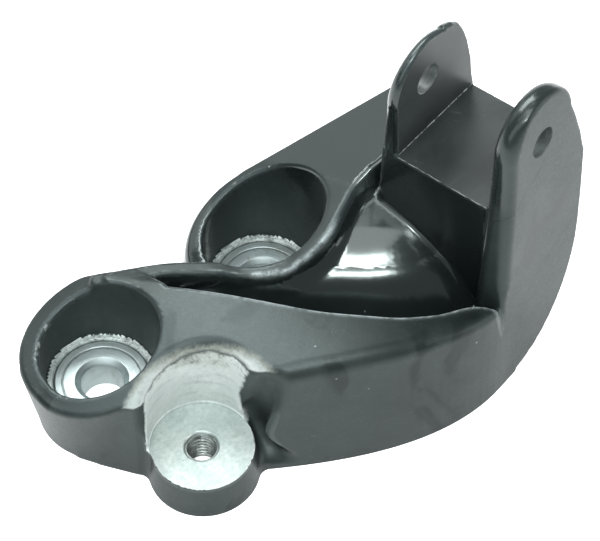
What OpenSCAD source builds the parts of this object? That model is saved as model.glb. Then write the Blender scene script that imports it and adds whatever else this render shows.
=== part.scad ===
// Two-bolt clevis bracket: one cast aluminium body with two deep bolt lugs,
// a small tapped ear and a two-cheek clevis with a flat ledge between its cheeks.
// Origin: midway between the two bolt bores, on the mounting face (z = 0).
// +X runs from the front bolt bore to the rear bolt bore, +Z is up. Millimetres.

/* [Bolt lugs] */
// Distance between the two bolt bore centres
bolt_spacing = 52; // [50:1:55]
// Bore of each seat sleeve, clearance for an M10 bolt
bolt_hole_d = 11; // [9:0.5:12]
// Height of the bolt head seat above the mounting face
seat_z = 10; // [8:0.5:12]
// Diameter of the counterbore at its floor
counterbore_d = 28; // [27:0.5:29]
// Draft of the counterbore wall, in degrees
counterbore_draft = 4.7; // [2:0.1:5.5]
// Outer radius of the front lug
front_lug_r = 18; // [17.5:0.25:19]
// Outer radius of the rear lug
rear_lug_r = 19; // [18.5:0.25:20]

/* [Seat sleeves] */
// Diameter of the sleeve flange the bolt head bears on
flange_d = 24.3; // [22:0.1:25]
// Thickness of the sleeve flange
flange_t = 2.4; // [1.5:0.1:4]
// Outside diameter of the sleeve barrel pressed into the lug
barrel_d = 16; // [14.5:0.5:18]
// Lead-in chamfer of the sleeve bore
bore_chamfer = 1.4; // [0.5:0.1:1.6]

/* [Tapped ear] */
// Ear centre along X
ear_x = -19; // [-22:0.5:-17]
// Ear centre along Y
ear_y = -32.1; // [-34:0.1:-31]
// Thickness of the ear
ear_h = 10; // [8:0.5:12]
// Radius of the ear at the mounting face
ear_r_base = 14; // [13.5:0.25:15]
// Radius of the ear at its machined face
ear_r_top = 12.7; // [12:0.1:13]
// Slope of the machined wall behind the ear, in degrees from vertical
sweep_angle = 8; // [4:0.5:14]
// Minor diameter of the M8 thread insert
insert_minor_d = 6.8; // [6.5:0.1:7]
// Outside diameter of the thread insert
insert_outer_d = 8.3; // [8.2:0.1:8.8]

/* [Arms] */
// Height of the lower arm's crown on the bolt line
arm_crown_z = 32.3; // [31:0.1:34]
// Where the lower arm is highest, along X
arm_crown_x = 15; // [12:1:18]
// Height of the shelf in the pocket between the arms
shelf_z = 36; // [34:0.5:37.5]
// Height of the pocket's floor beside the lower arm
channel_z = 18; // [15:0.5:22]
// Height of the upper arm's sloping face above the rear bore centre
upper_face_z = 33.5; // [31:0.5:35]
// Rise of the upper arm's sloping face per millimetre
upper_slope = 0.524; // [0.45:0.01:0.56]
// Height of the flange that ties the lugs on the far side
tie_h = 11; // [8:0.5:14]

/* [Clevis] */
// Height of the machined ledge between the cheeks
ledge_z = 61.5; // [58:0.5:64]
// Gap between the cheeks at the ledge
gap_w = 26.6; // [24:0.1:28]
// Depth of the ledge, from its front edge to its back edge
ledge_depth = 31; // [29:0.5:32]
// Diameter of the pivot pin hole
pin_d = 8; // [6:0.25:9]
// Height of the pivot pin axis
pin_z = 79.4; // [77:0.2:81]
// Distance of the pin axis from the clevis front edge
pin_s = 13.1; // [12:0.1:15]
// Height of the two cheeks
cheek_top_z = 93.2; // [91.5:0.1:97]
// Radius of the cheeks' rounded tops
cheek_r = 12.7; // [12:0.1:13]
// Direction of the clevis, degrees from X
clevis_turn = 12; // [10:0.5:14]

/* [Quality] */
// Smoothness of the round surfaces
round_fn = 96; // [48:8:128]

/* [Hidden] */
eps = 0.02;
front_c = [-bolt_spacing/2, 0];
rear_c = [bolt_spacing/2, 0];
clevis_o = [55.4, -61.3];
floor_z = seat_z + 0.7;            // cast floor of the counterbore around the flange
draft_k = tan(counterbore_draft);
outer_lean = 3.3;                  // draft of the outer cheek
block_w = 43.5;                    // clevis width over both cheeks
cheek_in = 11.0;                   // outer cheek's inner face at ledge height
gap_far = cheek_in + gap_w;        // inner cheek's inner face
ledge_s = 2.0;                     // ledge front edge

function bez(a, b, c, d, t) =
    pow(1-t, 3)*a + 3*t*pow(1-t, 2)*b + 3*t*t*(1-t)*c + t*t*t*d;
function bez_path(a, b, c, d, n) = [for (i = [0:n]) bez(a, b, c, d, i/n)];
function arc(c, r, a0, a1, n) = [for (i = [0:n]) c + r*[cos(a0 + (a1-a0)*i/n), sin(a0 + (a1-a0)*i/n)]];

// outer wall of the lower arm, from the front lug to the clevis corner
outer_path = bez_path([-25.8, -29.0], [4.5, -51.9], [30.9, -66.5], clevis_o + [0.06, -0.3], 22);
// inner wall of the lower arm, from the clevis back to the front lug
inner_path = bez_path([44, -54], [23.3, -47.5], [3, -12.5], [-9, 6], 18);

// crown line of the lower arm: climbs from the front lug, levels off, then dips to the clevis
function crown(x) = arm_crown_z - (x < arm_crown_x ? 0.0035 : 0.004)*pow(x - arm_crown_x, 2);

module clevis_frame() {
    translate([clevis_o[0], clevis_o[1], 0]) rotate([0, 0, clevis_turn]) children();
}

// everything under the lower arm's crown line
module under_crown() {
    rotate([-4.86, 0, 0]) translate([0, 90, 0]) rotate([90, 0, 0])
        linear_extrude(height = 190)
            polygon(concat([[-60, -30]], [for (x = [-60:4:76]) [x, crown(x)]], [[76, -30]]));
}

// everything under the upper arm's sloping face
module under_slope() {
    rotate([0, 0, -35]) translate([0, 90, 0]) rotate([90, 0, 0])
        linear_extrude(height = 190)
            let (x0 = bolt_spacing/2*cos(35))
            polygon([[-60, -30], [-60, upper_face_z - upper_slope*(60 + x0)],
                     [115, upper_face_z + upper_slope*(115 - x0)], [115, -30]]);
}

module lower_arm() {
    intersection() {
        linear_extrude(height = 60) union() {
            polygon(concat(
                [front_c + [-4, 12], front_c + (front_lug_r - 0.3)*[cos(206), sin(206)],
                 front_c + [-12.2, -14.9], front_c + [-6.5, -23.4]],
                outer_path,
                [[64, -60], [64, -50]],
                inner_path));
            translate(front_c) circle(r = front_lug_r, $fn = round_fn);
            // neck towards the tapped ear
            polygon([[ear_x - 12, ear_y + 2], [ear_x - 9, ear_y + 18], [ear_x + 16, ear_y + 6], [ear_x + 11.4, ear_y - 4]]);
        }
        under_crown();
    }
}

module upper_arm() {
    intersection() {
        linear_extrude(height = 90) union() {
            translate(rear_c) circle(r = rear_lug_r, $fn = round_fn);
            polygon([rear_c + (rear_lug_r - 0.3)*[cos(66), sin(66)], [76, -2.0], [79, -4.4], [80.5, -8], [80.5, -18],
                     [60, -30], [46.5, -22], [42.5, -17.5], rear_c + (rear_lug_r - 0.3)*[cos(-85), sin(-85)]]);
        }
        under_slope();
    }
}

// wall that joins the two lugs across the pocket
module lug_rib() {
    intersection() {
        linear_extrude(height = 60)
            polygon([[-12.5, 13], [-3.1, 8.5], [0, 6.4], [2.9, 4], [5.6, 1.3], [8.5, -1.3], [13, -7], [17, -11],
                     [16.5, -15.2], [13, -13.8], [10.7, -10.7], [8.5, -7.4], [6.1, -4.3], [3.4, -1.7],
                     [0.6, 1], [-2.3, 3.3], [-5.5, 5.3], [-10.5, 7.5]]);
        rotate([0, 0, -42]) translate([0, 60, 0]) rotate([90, 0, 0]) linear_extrude(height = 120)
            polygon([[-40, -20], [-40, 26], [-13, 29], [0, 29.3], [7.3, 30.2], [11.4, 31.5],
                     [15, 33.3], [19.4, 34.3], [26, 35.2], [40, 38], [40, -20]]);
    }
}

// low flange between the lugs on the far side, and the base under the pocket
module tie_flange() {
    linear_extrude(height = tie_h)
        polygon([front_c + [0, front_lug_r - 2], rear_c + [0, rear_lug_r - 3], rear_c + [16, 2], [64, -12],
                 [66, -50], [44, -57], [10, -42], front_c + [0, -10]]);
}

// pocket between the arms: a shelf under the clevis, falling to a channel beside the lower arm
module pocket_floor() {
    intersection() {
        linear_extrude(height = 60)
            polygon([[10, 2], [16, -8], [36, -10], [50, -13], [62, -30], [62, -57], [44, -57], [20, -42], [2, -14]]);
        rotate([0, 0, -31.3]) translate([-20, 0, 0]) rotate([90, 0, 90]) linear_extrude(height = 110)
            polygon([[-60, -1], [-60, channel_z], [-21, channel_z], [-18.5, channel_z + 1.2], [-8.2, shelf_z - 2.6],
                     [-6.6, shelf_z - 0.8], [-4.6, shelf_z], [20, shelf_z + 6], [40, shelf_z + 6], [40, -1]]);
    }
    linear_extrude(height = channel_z)
        polygon([[-10, 7], [6, 0], [20, -16], [50, -20], [62, -50], [44, -57], [10, -40], [-8, -6]]);
}

// back edge of the clevis, drawn in depth and height: a big rounded lower corner, then nearly straight
back_edge = concat([[8, 0]], [for (i = [1:9]) [33.2 - 25.2*(1 - sin(10*i)), 34*(1 - cos(10*i))]],
                   [[33.4, 46], [33.2, 54], [ledge_s + ledge_depth, ledge_z]]);

// side outline of the clevis
module tongue(top_z) {
    union() {
        translate([cheek_r + 0.4, top_z - cheek_r]) circle(r = cheek_r, $fn = round_fn);
        polygon(concat([[0.6, top_z - cheek_r], [1.7, ledge_z], [3.4, 32], [0, 28], [0, 0]],
                       back_edge, [[2.08*cheek_r, top_z - cheek_r + 2.8], [cheek_r + 8, top_z - 3.4]]));
    }
}

// both cheeks and the block between them
module clevis() {
    clevis_frame() difference() {
        translate([0, block_w, 0]) rotate([90, 0, 0]) linear_extrude(height = block_w + 1) tongue(cheek_top_z);
        // gap above the ledge
        translate([-20, cheek_in, ledge_z]) cube([80, gap_w, 80]);
        // the inner cheek's outer face is drafted
        translate([-20, block_w, ledge_z - 8]) rotate([4.5, 0, 0]) cube([80, 20, 80]);
    }
}

module ear_solid() {
    translate([ear_x, ear_y, 0])
        cylinder(h = ear_h*1.2, r1 = ear_r_base, r2 = ear_r_base - 1.2*(ear_r_base - ear_r_top), $fn = round_fn);
}

// machined sweep that clears the ear face and climbs to the arm top
module ear_sweep_cut() {
    translate([ear_x, ear_y, ear_h])
        cylinder(h = 40, r1 = ear_r_top + 0.3, r2 = ear_r_top + 0.3 + 40*tan(sweep_angle), $fn = round_fn);
}

module lug_cut(c) {
    translate([c[0], c[1], 0]) {
        // counterbore with its draft
        translate([0, 0, floor_z])
            cylinder(h = 60, r1 = counterbore_d/2, r2 = counterbore_d/2 + 60*draft_k, $fn = round_fn);
        // recess for the sleeve flange
        translate([0, 0, seat_z - flange_t])
            cylinder(h = flange_t + 1, r = flange_d/2 + 0.4, $fn = round_fn);
        // hole for the sleeve barrel
        translate([0, 0, -1]) cylinder(h = seat_z + 1, r = barrel_d/2, $fn = round_fn);
    }
}

module bracket_casting() {
    color([0.16, 0.18, 0.18])
    difference() {
        union() {
            lower_arm();
            upper_arm();
            lug_rib();
            tie_flange();
            pocket_floor();
            clevis();
            ear_solid();
        }
        lug_cut(front_c);
        lug_cut(rear_c);
        ear_sweep_cut();
        // draft of the outer cheek, carried along the arm's end
        clevis_frame() rotate([-outer_lean, 0, 0]) translate([-150, -30, -5]) cube([300, 30, 140]);
        // hole for the thread insert and its lead-in
        translate([ear_x, ear_y, -1]) cylinder(h = ear_h + 2, r = insert_outer_d/2, $fn = 64);
        translate([ear_x, ear_y, ear_h - 0.45])
            cylinder(h = 0.45 + eps, r1 = insert_outer_d/2, r2 = insert_outer_d/2 + 0.45, $fn = 64);
        // pivot pin hole through both cheeks
        clevis_frame() translate([pin_s, -5, pin_z]) rotate([-90, 0, 0]) cylinder(h = 60, r = pin_d/2, $fn = 64);
    }
}

module seat_sleeve(c) {
    translate([c[0], c[1], 0]) difference() {
        union() {
            cylinder(h = seat_z - flange_t + 0.01, r = barrel_d/2, $fn = round_fn);
            translate([0, 0, seat_z - flange_t]) cylinder(h = flange_t, r = flange_d/2, $fn = round_fn);
        }
        translate([0, 0, -1]) cylinder(h = seat_z + 2, r = bolt_hole_d/2, $fn = 64);
        translate([0, 0, seat_z - bore_chamfer])
            cylinder(h = bore_chamfer + eps, r1 = bolt_hole_d/2, r2 = bolt_hole_d/2 + bore_chamfer + eps, $fn = 64);
    }
}

module front_seat_sleeve() { color([0.72, 0.76, 0.76]) seat_sleeve(front_c); }
module rear_seat_sleeve() { color([0.72, 0.76, 0.76]) seat_sleeve(rear_c); }

module ear_thread_insert() {
    color([0.5, 0.53, 0.53])
    translate([ear_x, ear_y, 0.6]) difference() {
        cylinder(h = ear_h - 1.4, r = insert_outer_d/2, $fn = 64);
        translate([0, 0, -1]) cylinder(h = ear_h + 2, r = insert_minor_d/2, $fn = 64);
    }
}

bracket_casting();
front_seat_sleeve();
rear_seat_sleeve();
ear_thread_insert();
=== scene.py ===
import bpy
import math
import numpy as np
import openvdb as vdb
from mathutils import Vector, Matrix


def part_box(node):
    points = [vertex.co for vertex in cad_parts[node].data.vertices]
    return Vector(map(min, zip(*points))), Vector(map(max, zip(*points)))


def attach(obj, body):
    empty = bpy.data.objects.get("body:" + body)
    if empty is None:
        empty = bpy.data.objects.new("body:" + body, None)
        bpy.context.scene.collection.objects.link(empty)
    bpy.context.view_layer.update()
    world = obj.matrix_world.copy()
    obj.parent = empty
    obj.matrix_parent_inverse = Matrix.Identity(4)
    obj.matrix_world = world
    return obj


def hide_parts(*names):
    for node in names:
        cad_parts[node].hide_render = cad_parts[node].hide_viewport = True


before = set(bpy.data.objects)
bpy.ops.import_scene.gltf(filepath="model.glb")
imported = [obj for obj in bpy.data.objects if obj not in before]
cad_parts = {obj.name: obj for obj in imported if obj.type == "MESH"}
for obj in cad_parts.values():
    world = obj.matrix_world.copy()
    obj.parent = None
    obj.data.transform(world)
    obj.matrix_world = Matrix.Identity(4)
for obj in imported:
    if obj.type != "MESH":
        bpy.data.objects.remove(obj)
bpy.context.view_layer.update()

# ----------------------------------------------------------------------------------------------------------------
# Places, all in millimetres in the row frame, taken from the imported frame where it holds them
# ----------------------------------------------------------------------------------------------------------------
def box_mm(node):
    lo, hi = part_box(node)
    return np.array(lo) * 1000.0, np.array(hi) * 1000.0

f_lo, f_hi = box_mm("front_seat_sleeve")
r_lo, r_hi = box_mm("rear_seat_sleeve")
i_lo, i_hi = box_mm("ear_thread_insert")
c_lo, c_hi = box_mm("bracket_casting")
L = (f_lo[:2] + f_hi[:2]) / 2
R = (r_lo[:2] + r_hi[:2]) / 2
E = (i_lo[:2] + i_hi[:2]) / 2
SEAT_Z = float(f_hi[2])
FLANGE_R = float(f_hi[0] - f_lo[0]) / 2
INS_R = float(i_hi[0] - i_lo[0]) / 2
TOP_Z = float(c_hi[2])
EAR_Z = 10.0
FLOOR_Z = SEAT_Z + 0.7
CO = np.array([55.4, -61.3])
TURN = math.radians(12.0)
CT, ST = math.cos(TURN), math.sin(TURN)
LEDGE_Z = 61.5
IN_W, FAR_W = 11.0, 37.6
PIN_S, PIN_Z, PIN_R = 13.1, 79.4, 4.0
LEAN = math.tan(math.radians(3.3))
CONE_K = 0.0822
VOX = 0.8

def tan(d):
    return math.tan(math.radians(d))

def cosd(d):
    return math.cos(math.radians(d))

# ----------------------------------------------------------------------------------------------------------------
# Signed distance helpers
# ----------------------------------------------------------------------------------------------------------------
def u_round(a, b, r):
    u = np.maximum(r - a, 0)
    v = np.maximum(r - b, 0)
    return np.maximum(r, np.minimum(a, b)) - np.sqrt(u * u + v * v)

def i_round(a, b, r):
    u = np.maximum(r + a, 0)
    v = np.maximum(r + b, 0)
    return np.minimum(-r, np.maximum(a, b)) + np.sqrt(u * u + v * v)

def smooth(t):
    t = np.clip(t, 0, 1)
    return t * t * (3 - 2 * t)

def sd_poly(X, Y, P):
    P = np.asarray(P, float)
    n = len(P)
    d2 = np.full(np.broadcast(X, Y).shape, 1e18)
    inside = np.zeros(d2.shape, bool)
    for i in range(n):
        ax, ay = P[i]
        bx, by = P[(i + 1) % n]
        ex, ey = bx - ax, by - ay
        wx, wy = X - ax, Y - ay
        t = np.clip((wx * ex + wy * ey) / (ex * ex + ey * ey + 1e-18), 0, 1)
        qx, qy = wx - t * ex, wy - t * ey
        d2 = np.minimum(d2, qx * qx + qy * qy)
        c = ((ay > Y) != (by > Y))
        if abs(by - ay) > 1e-12:
            xi = ax + (Y - ay) * (ex / (by - ay))
            inside ^= c & (X < xi)
    return np.where(inside, -1.0, 1.0) * np.sqrt(d2)

def poly_line(X, Y, P, V):
    """Distance to an open line of points, and V interpolated at the nearest place on it."""
    P = np.asarray(P, float)
    best = np.full(np.broadcast(X, Y).shape, 1e18)
    val = np.zeros(best.shape)
    for i in range(len(P) - 1):
        ax, ay = P[i]
        bx, by = P[i + 1]
        ex, ey = bx - ax, by - ay
        wx, wy = X - ax, Y - ay
        t = np.clip((wx * ex + wy * ey) / (ex * ex + ey * ey), 0, 1)
        qx, qy = wx - t * ex, wy - t * ey
        d = qx * qx + qy * qy
        m = d < best
        best = np.where(m, d, best)
        val = np.where(m, V[i] + t * (V[i + 1] - V[i]), val)
    return np.sqrt(best), val

def bez(a, b, c, d, n):
    t = np.linspace(0, 1, n)[:, None]
    a, b, c, d = [np.asarray(p, float)[None] for p in (a, b, c, d)]
    return (1 - t) ** 3 * a + 3 * t * (1 - t) ** 2 * b + 3 * t * t * (1 - t) * c + t ** 3 * d

def catmull(P, k=6):
    P = np.asarray(P, float)
    Q = np.vstack([2 * P[0] - P[1], P, 2 * P[-1] - P[-2]])
    out = []
    for i in range(1, len(Q) - 2):
        p0, p1, p2, p3 = Q[i - 1], Q[i], Q[i + 1], Q[i + 2]
        for j in range(k):
            t = j / k
            out.append(0.5 * (2 * p1 + (p2 - p0) * t + (2 * p0 - 5 * p1 + 4 * p2 - p3) * t * t
                              + (3 * p1 - p0 - 3 * p2 + p3) * t ** 3))
    out.append(P[-1])
    return np.array(out)

# ----------------------------------------------------------------------------------------------------------------
# The cast body
# ----------------------------------------------------------------------------------------------------------------
OUTER = bez((-25.8, -29.0), (4.5, -51.9), (30.9, -66.5), CO, 30)
INNER = catmull([(54.3, -62.5), (53.2, -58.8), (50.6, -55.6), (46.8, -53.7), (41.6, -52.4), (37.4, -50.6), (31.5, -47.2), (26, -42.4), (19, -35.5), (14.4, -29.7),
                 (8.7, -21.2), (4.5, -14.7), (-1.3, -6), (-6.5, 1.5), (-10.2, 6.8)], 4)
NEAR_BASE = np.array([(-40.9, -9.6), (-38.2, -14.9), (-32.5, -23.4), (-25.8, -29.0)])
OUTER_POLY = np.vstack([[(-26, 12)], [(-40, 6)], NEAR_BASE[:-1], OUTER,
                        [(CO[0] + 160 * CT, CO[1] + 160 * ST), (220, 160), (-12, 160), (-16, 16)]])
INNER_POLY = np.vstack([INNER, [(-13.2, 11.2), (-16.5, 16), (-21, 26), (-70, 26), (-70, -120), (54.8, -120)]])
RIDGE = catmull([(13.0, -13.4), (16.1, -15.9), (20, -18.6), (25.7, -19.9), (32.5, -19.4), (40.4, -16.2), (44.7, -14.6),
                 (50, -14.2)], 4)
B_POLY = np.vstack([[(26, 19.2)], [(33.8, 17.7)], [(70.0, 1.8)], [(77, -1.7)], [(79.5, -6)], [(80, -14)], [(60, -16)],
                    RIDGE[::-1], [(10, 0)]])
RIB = catmull([(-15.5, 13.6), (-9, 9.5), (-4.3, 6.9), (-1.1, 4.9), (1.8, 2.5), (4.5, -0.2), (7.3, -2.8), (9.9, -6),
               (11.6, -9.5), (14.4, -13), (16.9, -15), (19.8, -16.4)], 3)
RIB_Z = catmull([(0, 28.2), (1, 28.9), (2, 29.4), (3, 29.8), (4, 30.2), (5, 30.5), (6, 31.0), (7, 32.2), (8, 33.6), (9, 34.5),
                 (10, 34.8), (11, 35.4)], 3)[:, 1]
CONVEX = catmull([(16, -14), (23, -19.5), (27.5, -22.6), (32.1, -25.8), (38.8, -31.3), (45.4, -35.1), (51.3, -36.7),
                  (60, -37.6)], 4)
SHELF_POLY = np.vstack([CONVEX, [(66, -30), (70, 0), (30, 4), (14, -6)]])
CH_U = np.array([-20, -11.3, 0.7, 10, 18.4, 40.3, 58, 70.7, 90])
CH_Z = np.array([29.5, 28.5, 24.5, 22, 20.5, 18.0, 15.5, 13.5, 13.0])

BACK = [(33.2 - 26.7 * (1 - math.sin(math.radians(10 * i))), 36.4 * (1 - math.cos(math.radians(10 * i)))) for i in range(1, 10)]
TONGUE = np.array([(-6, -6), (8, -6), (8, 0)] + BACK + [(33.4, 46), (33.3, 54), (33.2, 61.5), (31.0, 69.0), (28.0, 77.0),
                   (25.7, 82.6), (13.1, 82), (0.42, 80.3), (1.1, 71), (1.7, 61.5), (2.4, 48), (3.2, 32), (3.5, 24), (3.6, 14), (-6, 12)])
BACK_CLIP = np.array([(-90, -20), (8, -20), (8, 0)] + BACK + [(33.4, 46), (33.4, 61.5), (33.4, 120), (-90, 120)])
TONGUE_OUT = np.array([(-6, -6), (8, -6), (8, 0)] + BACK + [(33.4, 46), (33.0, 54), (32.9, 61.5), (30.9, 69.0), (27.9, 77.0),
                       (25.5, 82.4), (13.1, 82), (0.42, 80.3), (0.5, 71), (0.2, 61.5), (-0.2, 48), (-0.6, 32), (-0.8, 14), (-6, 12)])
TONGUE_IN = np.array([(-6, -6), (8, -6), (8, 0)] + BACK + [(33.4, 46), (33.5, 54), (34.4, 61.5), (33.2, 66.0), (32.2, 72.0), (29.8, 80.0),
                      (27.8, 84.6), (25.6, 88.2), (22.6, 90.4), (19.4, 91.7), (13.1, 84), (0.42, 80.4), (1.1, 71), (1.7, 61.5),
                      (2.4, 48), (3.2, 32), (3.5, 24), (3.6, 14), (-6, 12)])
SWEEP_C = np.array([-3.9, -4.6]) / 21.0
SWEEP_R = 6.6 / 21.0
SPOT_R, SPOT_K = 13.0, 0.02

def z_arm(X, Y):
    x, y = np.clip(X, -60, 66) / 40.0, np.clip(Y, -72, 40) / 40.0
    z = (33.06 + 5.35 * x - 8.17 * x * x - 0.99 * x ** 3 + 1.44 * x ** 4 - 4.16 * y - 1.09 * x * y - 1.65 * y * y)
    z = z - 0.010 * np.maximum(Y - 8, 0) ** 2 * smooth((-4 - X) / 10.0)
    return z - 1.0 * np.exp(-((X + 43) ** 2 + (Y + 4) ** 2) / 40.0)

def z_back(X, Y):
    dx, dy = X - R[0], Y - R[1]
    z = 33.5 + 0.43 * dx - 0.3 * dy
    z = z + 2.2 * np.exp(-((dx + 13.5) ** 2 + (dy + 9) ** 2) / 40.0)
    z = z - 1.0 * np.exp(-((dx + 16) ** 2 + (dy - 3) ** 2) / 30.0)
    return z

def mouth(X, Y, Z, c):
    rr = np.sqrt((X - c[0]) ** 2 + (Y - c[1]) ** 2)
    cone = (rr - (14.0 + CONE_K * (Z - 10.7))) * 0.9966
    return i_round(cone, FLOOR_Z - Z, 0.45)

def cast_sdf(X, Y, Z):
    """The cast body before it is machined. X, Y may be (n, m, 1) against Z (1, 1, k), or all three flat."""
    # the outer wall: drafted round the front lug, along the arm and over the outer cheek
    lx, ly = L[0] + 0.2 - 0.030 * Z, L[1] - 0.4 - 0.035 * Z
    lug = np.sqrt((X - lx) ** 2 + (Y - ly) ** 2) - (17.5 + 0.078 * Z)
    d_out = sd_poly(X, Y, OUTER_POLY)
    lean = 4.3 - 1.0 * smooth((X - 20) / 35)
    wall = (d_out + Z * np.tan(np.radians(lean))) * 0.998
    lug_far = np.sqrt((X - L[0] - 0.5) ** 2 + (Y - L[1] - 1.2) ** 2) - (17.2 + 0.142 * Z)
    lug = np.minimum(lug, lug_far)
    outer = u_round(lug, wall, 1.2)
    # lower arm with the front lug
    top = (Z - z_arm(X, Y)) * 0.985
    flat = sd_poly(X, Y, INNER_POLY)
    inner = (flat - np.maximum(z_arm(X, Y) - Z, 0) * tan(9)) * cosd(9)
    lug_in = np.maximum(np.sqrt((X - L[0]) ** 2 + (Y - L[1]) ** 2) - 21.5, lug - 0.4)
    rim = i_round(top + 1.9 * smooth((flat + 0.2) / 6.0), lug_in, 1.0)
    arm = np.minimum(np.maximum(i_round(top, inner, 1.0), Y - 10.5), rim)
    s = (X - CO[0]) * CT + (Y - CO[1]) * ST
    w = -(X - CO[0]) * ST + (Y - CO[1]) * CT
    arm = np.maximum(arm, s - 6.0)
    # upper arm with the rear lug
    zb = z_back(X, Y)
    circ = np.sqrt((X - R[0] + 0.5) ** 2 + (Y - R[1]) ** 2) - 19.2
    dB = np.minimum(sd_poly(X, Y, B_POLY), circ)
    k = tan(17) * smooth((-(Y + 6) * 0.9 + (X - 26) * 0.12) / 9.0 + 0.3) + 0.06
    k = k + 0.20 * smooth((16 - X) / 10.0)
    k = k * (1 - 0.85 * smooth((X - 56) / 10.0))
    sideB = (dB - np.maximum(zb - Z, 0) * k) / np.sqrt(1 + k * k)
    upper = i_round(sideB, (Z - zb) * 0.886, 1.2)
    upper = i_round(upper, sd_poly(s, Z, BACK_CLIP), 2.0)
    # rib between the lugs
    dr, zr = poly_line(X, Y, RIB, RIB_Z)
    away = np.clip((X * 0.64 + Y * 0.77) - 7.0, -3.0, 3.0) * smooth((14 - X) / 8.0)
    zr = zr - 0.40 * away - 0.25
    rib = i_round(dr - 2.2 - np.maximum(zr - Z, 0) * 0.06, Z - zr, 1.1)
    # low flange on the far side and the base under the pocket
    flange = sd_poly(X, Y, [(-26, 15.8), (26, 16.2), (42, 2), (64, -12), (66, -50), (44, -57), (10, -42), (-26, -10)])
    flange = i_round(flange, Z - 11.0, 2.0)
    # pocket: shelf under the clevis that falls to a channel beside the lower arm
    dc = sd_poly(X, Y, SHELF_POLY)
    dl, _ = poly_line(X, Y, CONVEX, np.zeros(len(CONVEX)))
    z_sh = 36.0 + np.clip(-dc, 0, 30) * 0.34
    slope = (dc + (Z - 36.0) * tan(40)) * cosd(40)
    shelf = i_round(slope, (Z - z_sh) * 0.95, 5.0)
    uu = (X - Y) / math.sqrt(2)
    zc = np.interp(uu, CH_U, CH_Z)
    ch_poly = sd_poly(X, Y, [(-14, 12), (-3, 7.5), (4, 0), (9, -6), (14, -12), (20, -12), (50, -12), (66, -40), (60, -57),
                             (44, -57), (10, -42), (-10, -10)])
    chan = np.maximum(ch_poly, (Z - zc) * 0.97)
    pocket = u_round(shelf, chan, 6.0)
    pocket = np.maximum(pocket, ch_poly)
    # clevis
    shp = np.broadcast(s, Z).shape
    s3, z3 = np.broadcast_to(s, shp), np.broadcast_to(Z, shp)
    near = s3 > -14
    dto = np.full(shp, 12.0)
    dti = np.full(shp, 12.0)
    dtc = np.full(shp, 12.0)
    sn, zn = s3[near], z3[near]
    dto[near] = np.minimum(sd_poly(sn, zn, TONGUE), np.hypot(sn - 13.1, zn - (TOP_Z - 12.7)) - 12.7)
    dti[near] = np.minimum(sd_poly(sn, zn, TONGUE_IN), np.hypot(sn - 13.1, zn - (TOP_Z - 13.4)) - 12.7)
    dtc[near] = np.minimum(sd_poly(sn, zn, TONGUE_OUT), np.hypot(sn - 13.1, zn - (TOP_Z - 12.7)) - 12.7)
    in_w = (w - (43.5 - np.maximum(Z - 50.0, 0) * tan(4.2))) * 0.997
    cheek_o = i_round(dtc, w - (IN_W + 0.3), 3.6)
    cheek_i = i_round(i_round(dti, in_w, 2.6), (FAR_W - 0.3) - w, 1.6)
    block = i_round(dto, in_w, 2.0)
    block = np.maximum(block, Z - (LEDGE_Z + 0.6))
    clev = np.minimum(np.minimum(cheek_o, cheek_i), block)
    # join everything
    low = u_round(arm, pocket, 3.0)
    low = np.minimum(low, flange)
    low = u_round(low, rib, 0.8)
    low = u_round(low, upper, 1.6)
    body = u_round(low, clev, 1.4)
    r_o = 1.3 + 2.6 * smooth((X + 20) / 26) - 1.6 * smooth((X - 26) / 18)
    r_o = r_o - (r_o - 1.3) * smooth((s + 6) / 7) + 1.7 * smooth((6.5 - s) / 3) * smooth((Z - 33) / 8) * smooth((s + 4) / 4)
    body = i_round(body, outer, r_o)
    # valley in the outer wall beside the ear
    up, dn = np.maximum(Z - 14, 0), np.maximum(14 - Z, 0)
    gy = -35.5 - 0.38 * up * up / (up + 2.0) - 0.10 * dn * dn
    groove = np.sqrt((X + 6.9) ** 2 + (Y - gy) ** 2) - 4.8
    body = i_round(body, -groove, 2.6)
    # ear
    er = np.sqrt((X - E[0]) ** 2 + (Y - E[1]) ** 2)
    eb = np.sqrt((X - E[0] - 0.3) ** 2 + (Y - E[1] + 0.2) ** 2)
    ear = i_round((eb - (14.1 - 0.13 * Z)) * 0.99, Z - 12.5, 0.5)
    body = u_round(body, ear, 2.2)
    spot = i_round(er - (SPOT_R + SPOT_K * (Z - EAR_Z)), EAR_Z + 0.2 - Z, 0.9)
    body = i_round(body, -spot, 0.3 + 3.2 * smooth((Z - 12.0) / 9.0))
    # deep counterbores
    for c in (L, R):
        body = i_round(body, -mouth(X, Y, Z, c), 0.9)
    return body

def grad(fn, P, h=0.02):
    g = np.empty_like(P)
    for a in range(3):
        d = np.zeros(3)
        d[a] = h
        q, m = P + d, P - d
        g[:, a] = (fn(q[:, 0], q[:, 1], q[:, 2]) - fn(m[:, 0], m[:, 1], m[:, 2])) / (2 * h)
    return g

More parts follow.
